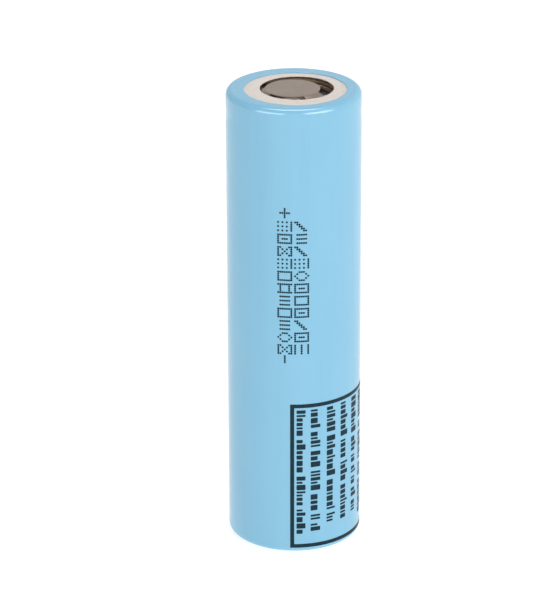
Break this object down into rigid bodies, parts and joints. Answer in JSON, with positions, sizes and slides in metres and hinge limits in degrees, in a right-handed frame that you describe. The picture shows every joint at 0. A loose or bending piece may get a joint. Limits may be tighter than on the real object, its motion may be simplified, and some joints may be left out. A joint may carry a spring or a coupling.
{
  "type": "cylindrical battery cell",
  "caption": "Flat-top round lithium-ion cell in a pale blue shrink sleeve, with a recessed metal terminal, a crimped can and a wound roll inside.",
  "frame": {"origin": "centre of the negative end, on the surface that the cell stands on", "axes": "+Z along the cell's axis, from the negative end to the positive terminal; -Y towards the side that carries the polarity signs, +X to its right"},
  "size_m": [0.0184, 0.0184, 0.0651],
  "materials": {
    "shrink_film": "satin pale blue film",
    "can_steel": "drawn and nickel plated",
    "cap_steel": "stamped and nickel plated, satin",
    "ring_paper": "matt off-white pressboard",
    "gasket_plastic": "moulded, olive brown",
    "thermistor": "carbon-filled sheet between thin plated faces",
    "vent_aluminium": "stamped, satin",
    "tab_aluminium": "rolled strip",
    "tab_nickel": "rolled nickel strip",
    "insulator_plastic": "moulded, pale",
    "glass_cloth": "resin-bonded glass cloth",
    "separator": "thin porous film",
    "anode_coating": "pressed graphite",
    "cathode_coating": "pressed metal oxide",
    "polyimide_tape": "amber tape"
  },
  "bodies": {
    "cell": {"sleeve": "shrink_film", "can": "can_steel", "top_insulator_ring": "ring_paper", "crimp_gasket": "gasket_plastic", "top_cap": "cap_steel", "ptc_ring": "thermistor", "cid_insulator": "insulator_plastic", "cid_plate": "vent_aluminium", "upper_insulator_disc": "glass_cloth", "lower_insulator_disc": "glass_cloth", "separator_inner": "separator", "anode_sheet": "anode_coating", "separator_outer": "separator", "cathode_sheet": "cathode_coating", "roll_end_tape": "polyimide_tape", "cathode_tab": "tab_aluminium", "cathode_tab_tape": "polyimide_tape", "anode_tab": "tab_nickel", "anode_tab_tape": "polyimide_tape"},
    "burst_disc": {"vent_disc": "vent_aluminium"}
  },
  "joints": [
    {"name": "burst_disc_lift", "type": "slide", "parent": "cell", "child": "burst_disc", "axis": [0, 0, 1], "range_m": [0, 0.0005], "deforming": ["vent_disc"]}
  ]
}
